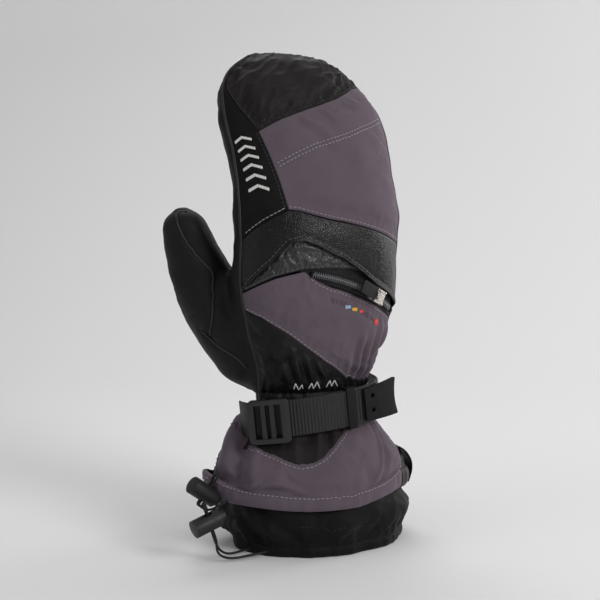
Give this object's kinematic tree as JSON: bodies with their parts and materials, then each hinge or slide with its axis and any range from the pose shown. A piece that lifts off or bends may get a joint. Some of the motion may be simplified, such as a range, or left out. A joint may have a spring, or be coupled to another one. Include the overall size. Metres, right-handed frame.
{
  "type": "ski mitten",
  "caption": "Insulated right-hand gauntlet ski mitten with softshell back, leather palm and thumb, zipped back pocket, wrist strap with buckle, and drawcord cuff and snow gaiter.",
  "frame": {"origin": "middle of the bounding box's bottom face, on the floor plane the mitten stands on; the centre of the cuff is 11 mm from it towards the little finger (+X)", "axes": "+Z from the cuff to the fingertips, -Y out of the back of the hand, +Y out of the palm, -X to the thumb side"},
  "size_m": [0.1724, 0.1072, 0.3333],
  "materials": {
    "softshell": "matt four-way stretch softshell, slate grey",
    "black_nylon": "semi-matt woven nylon",
    "strip_fabric": "matt black fabric",
    "leather": "fine grained goat leather, satin",
    "piping": "narrow bound piping",
    "wadding": "non-woven insulation",
    "membrane": "waterproof film",
    "lining": "brushed lining",
    "embroidery": "satin stitched thread, off white",
    "thread_blue": "satin stitched thread",
    "thread_yellow": "satin stitched thread",
    "thread_red": "satin stitched thread",
    "webbing": "ribbed polyester webbing",
    "buckle_plastic": "moulded acetal",
    "tab_rubber": "moulded soft pull tab",
    "coil_plastic": "nylon coil",
    "slider_metal": "plated zinc",
    "cord": "braided elastic cord",
    "lock_plastic": "moulded acetal",
    "spring_steel": "bare spring wire"
  },
  "bodies": {
    "gauntlet": {"gauntlet_back_shell": "softshell", "gauntlet_palm_panel": "black_nylon", "gauntlet_inset_panel": "black_nylon", "gauntlet_hem": "softshell", "hem_drawcord": "cord", "snow_gaiter": "black_nylon", "gaiter_hem": "black_nylon", "gaiter_drawcord": "cord", "gauntlet_lining": "lining", "wrist_elastic": "black_nylon", "pull_on_loop": "webbing", "wrist_strap_band": "webbing", "buckle_anchor_webbing": "webbing", "ladder_lock_buckle": "buckle_plastic"},
    "hand": {"finger_back_panel": "softshell", "fingertip_cap": "black_nylon", "index_side_panel": "strip_fabric", "knuckle_band": "leather", "pocket_edge_panel": "leather", "hand_back_panel": "softshell", "wrist_back_panel": "black_nylon", "pocket_bag": "black_nylon", "palm_panel": "leather", "thumb_side_piping": "piping", "little_finger_piping": "piping", "membrane_insert": "membrane", "insulation_back": "wadding", "insulation_palm": "wadding", "hand_lining": "lining", "zipper_tape": "black_nylon", "zipper_coil": "coil_plastic", "zipper_top_stop": "coil_plastic", "zipper_bottom_stop": "coil_plastic", "index_embroidery": "embroidery", "bar_tack_blue": "thread_blue", "bar_tack_yellow": "thread_yellow", "bar_tack_red": "thread_red", "bar_tack_end": "thread_red"},
    "thumb": {"thumb_back_panel": "leather", "thumb_palm_panel": "leather", "thumb_insulation": "wadding", "thumb_lining": "lining"},
    "zip_slider": {"zipper_slider": "slider_metal"},
    "zip_pull": {"zipper_pull": "tab_rubber"},
    "strap_tail": {"wrist_strap_tail": "webbing"},
    "keeper": {"strap_keeper": "tab_rubber"},
    "pull_tab": {"strap_pull_tab": "tab_rubber"},
    "hem_lock": {"hem_lock_barrel": "lock_plastic", "hem_lock_spring": "spring_steel"},
    "hem_plunger": {"hem_lock_plunger": "lock_plastic"},
    "gaiter_lock": {"gaiter_lock_barrel": "lock_plastic", "gaiter_lock_spring": "spring_steel"},
    "gaiter_plunger": {"gaiter_lock_plunger": "lock_plastic"}
  },
  "joints": [
    {"name": "wrist_flex", "type": "hinge", "parent": "gauntlet", "child": "hand", "pos_m": [0.01104, 0, 0.097], "axis": [1, 0, 0], "range_deg": [-10, 10], "stiffness_Nm_per_rad": 0.6, "deforming": ["wrist_elastic"]},
    {"name": "thumb_flex", "type": "hinge", "parent": "hand", "child": "thumb", "pos_m": [-0.05296, 0.0323, 0.18], "axis": [0.053, 0.993, -0.1059], "range_deg": [-12, 10], "stiffness_Nm_per_rad": 0.1},
    {"name": "zipper_run", "type": "hinge", "parent": "hand", "child": "zip_slider", "pos_m": [0.00349, 0.02719, 0.14934], "axis": [0.2568, 0.4628, 0.8485], "range_deg": [-28, 13]},
    {"name": "zipper_pull_flip", "type": "hinge", "parent": "zip_slider", "child": "zip_pull", "pos_m": [0.04242, -0.04188, 0.17283], "axis": [0.4316, 0.0793, 0.8986], "range_deg": [0, 120]},
    {"name": "strap_tighten", "type": "hinge", "parent": "gauntlet", "child": "strap_tail", "pos_m": [0.01444, 0.059, 0.09633], "axis": [-0.1045, 0, 0.9945], "range_deg": [-3, 9]},
    {"name": "keeper_slide", "type": "hinge", "parent": "strap_tail", "child": "keeper", "pos_m": [0.01444, 0.059, 0.09633], "axis": [-0.1045, 0, 0.9945], "range_deg": [-2.5, 2]},
    {"name": "pull_tab_lift", "type": "hinge", "parent": "strap_tail", "child": "pull_tab", "pos_m": [0.03481, -0.03868, 0.09847], "axis": [0.1045, 0, -0.9945], "range_deg": [0, 60]},
    {"name": "hem_lock_slide", "type": "slide", "parent": "gauntlet", "child": "hem_lock", "axis": [0.5867, 0.003, 0.8098], "range_m": [-0.002, 0.002]},
    {"name": "hem_plunger_press", "type": "slide", "parent": "hem_lock", "child": "hem_plunger", "axis": [-0.8037, -0.1206, 0.5827], "range_m": [0, 0.003], "stiffness_N_per_m": 400, "springref_m": -0.002, "deforming": ["hem_lock_spring"]},
    {"name": "gaiter_lock_slide", "type": "slide", "parent": "gauntlet", "child": "gaiter_lock", "axis": [-0.304, -0.0003, 0.9527], "range_m": [-0.0045, 0.002]},
    {"name": "gaiter_plunger_press", "type": "slide", "parent": "gaiter_lock", "child": "gaiter_plunger", "axis": [-0.9478, -0.1008, -0.3025], "range_m": [0, 0.003], "stiffness_N_per_m": 400, "springref_m": -0.002, "deforming": ["gaiter_lock_spring"]}
  ]
}
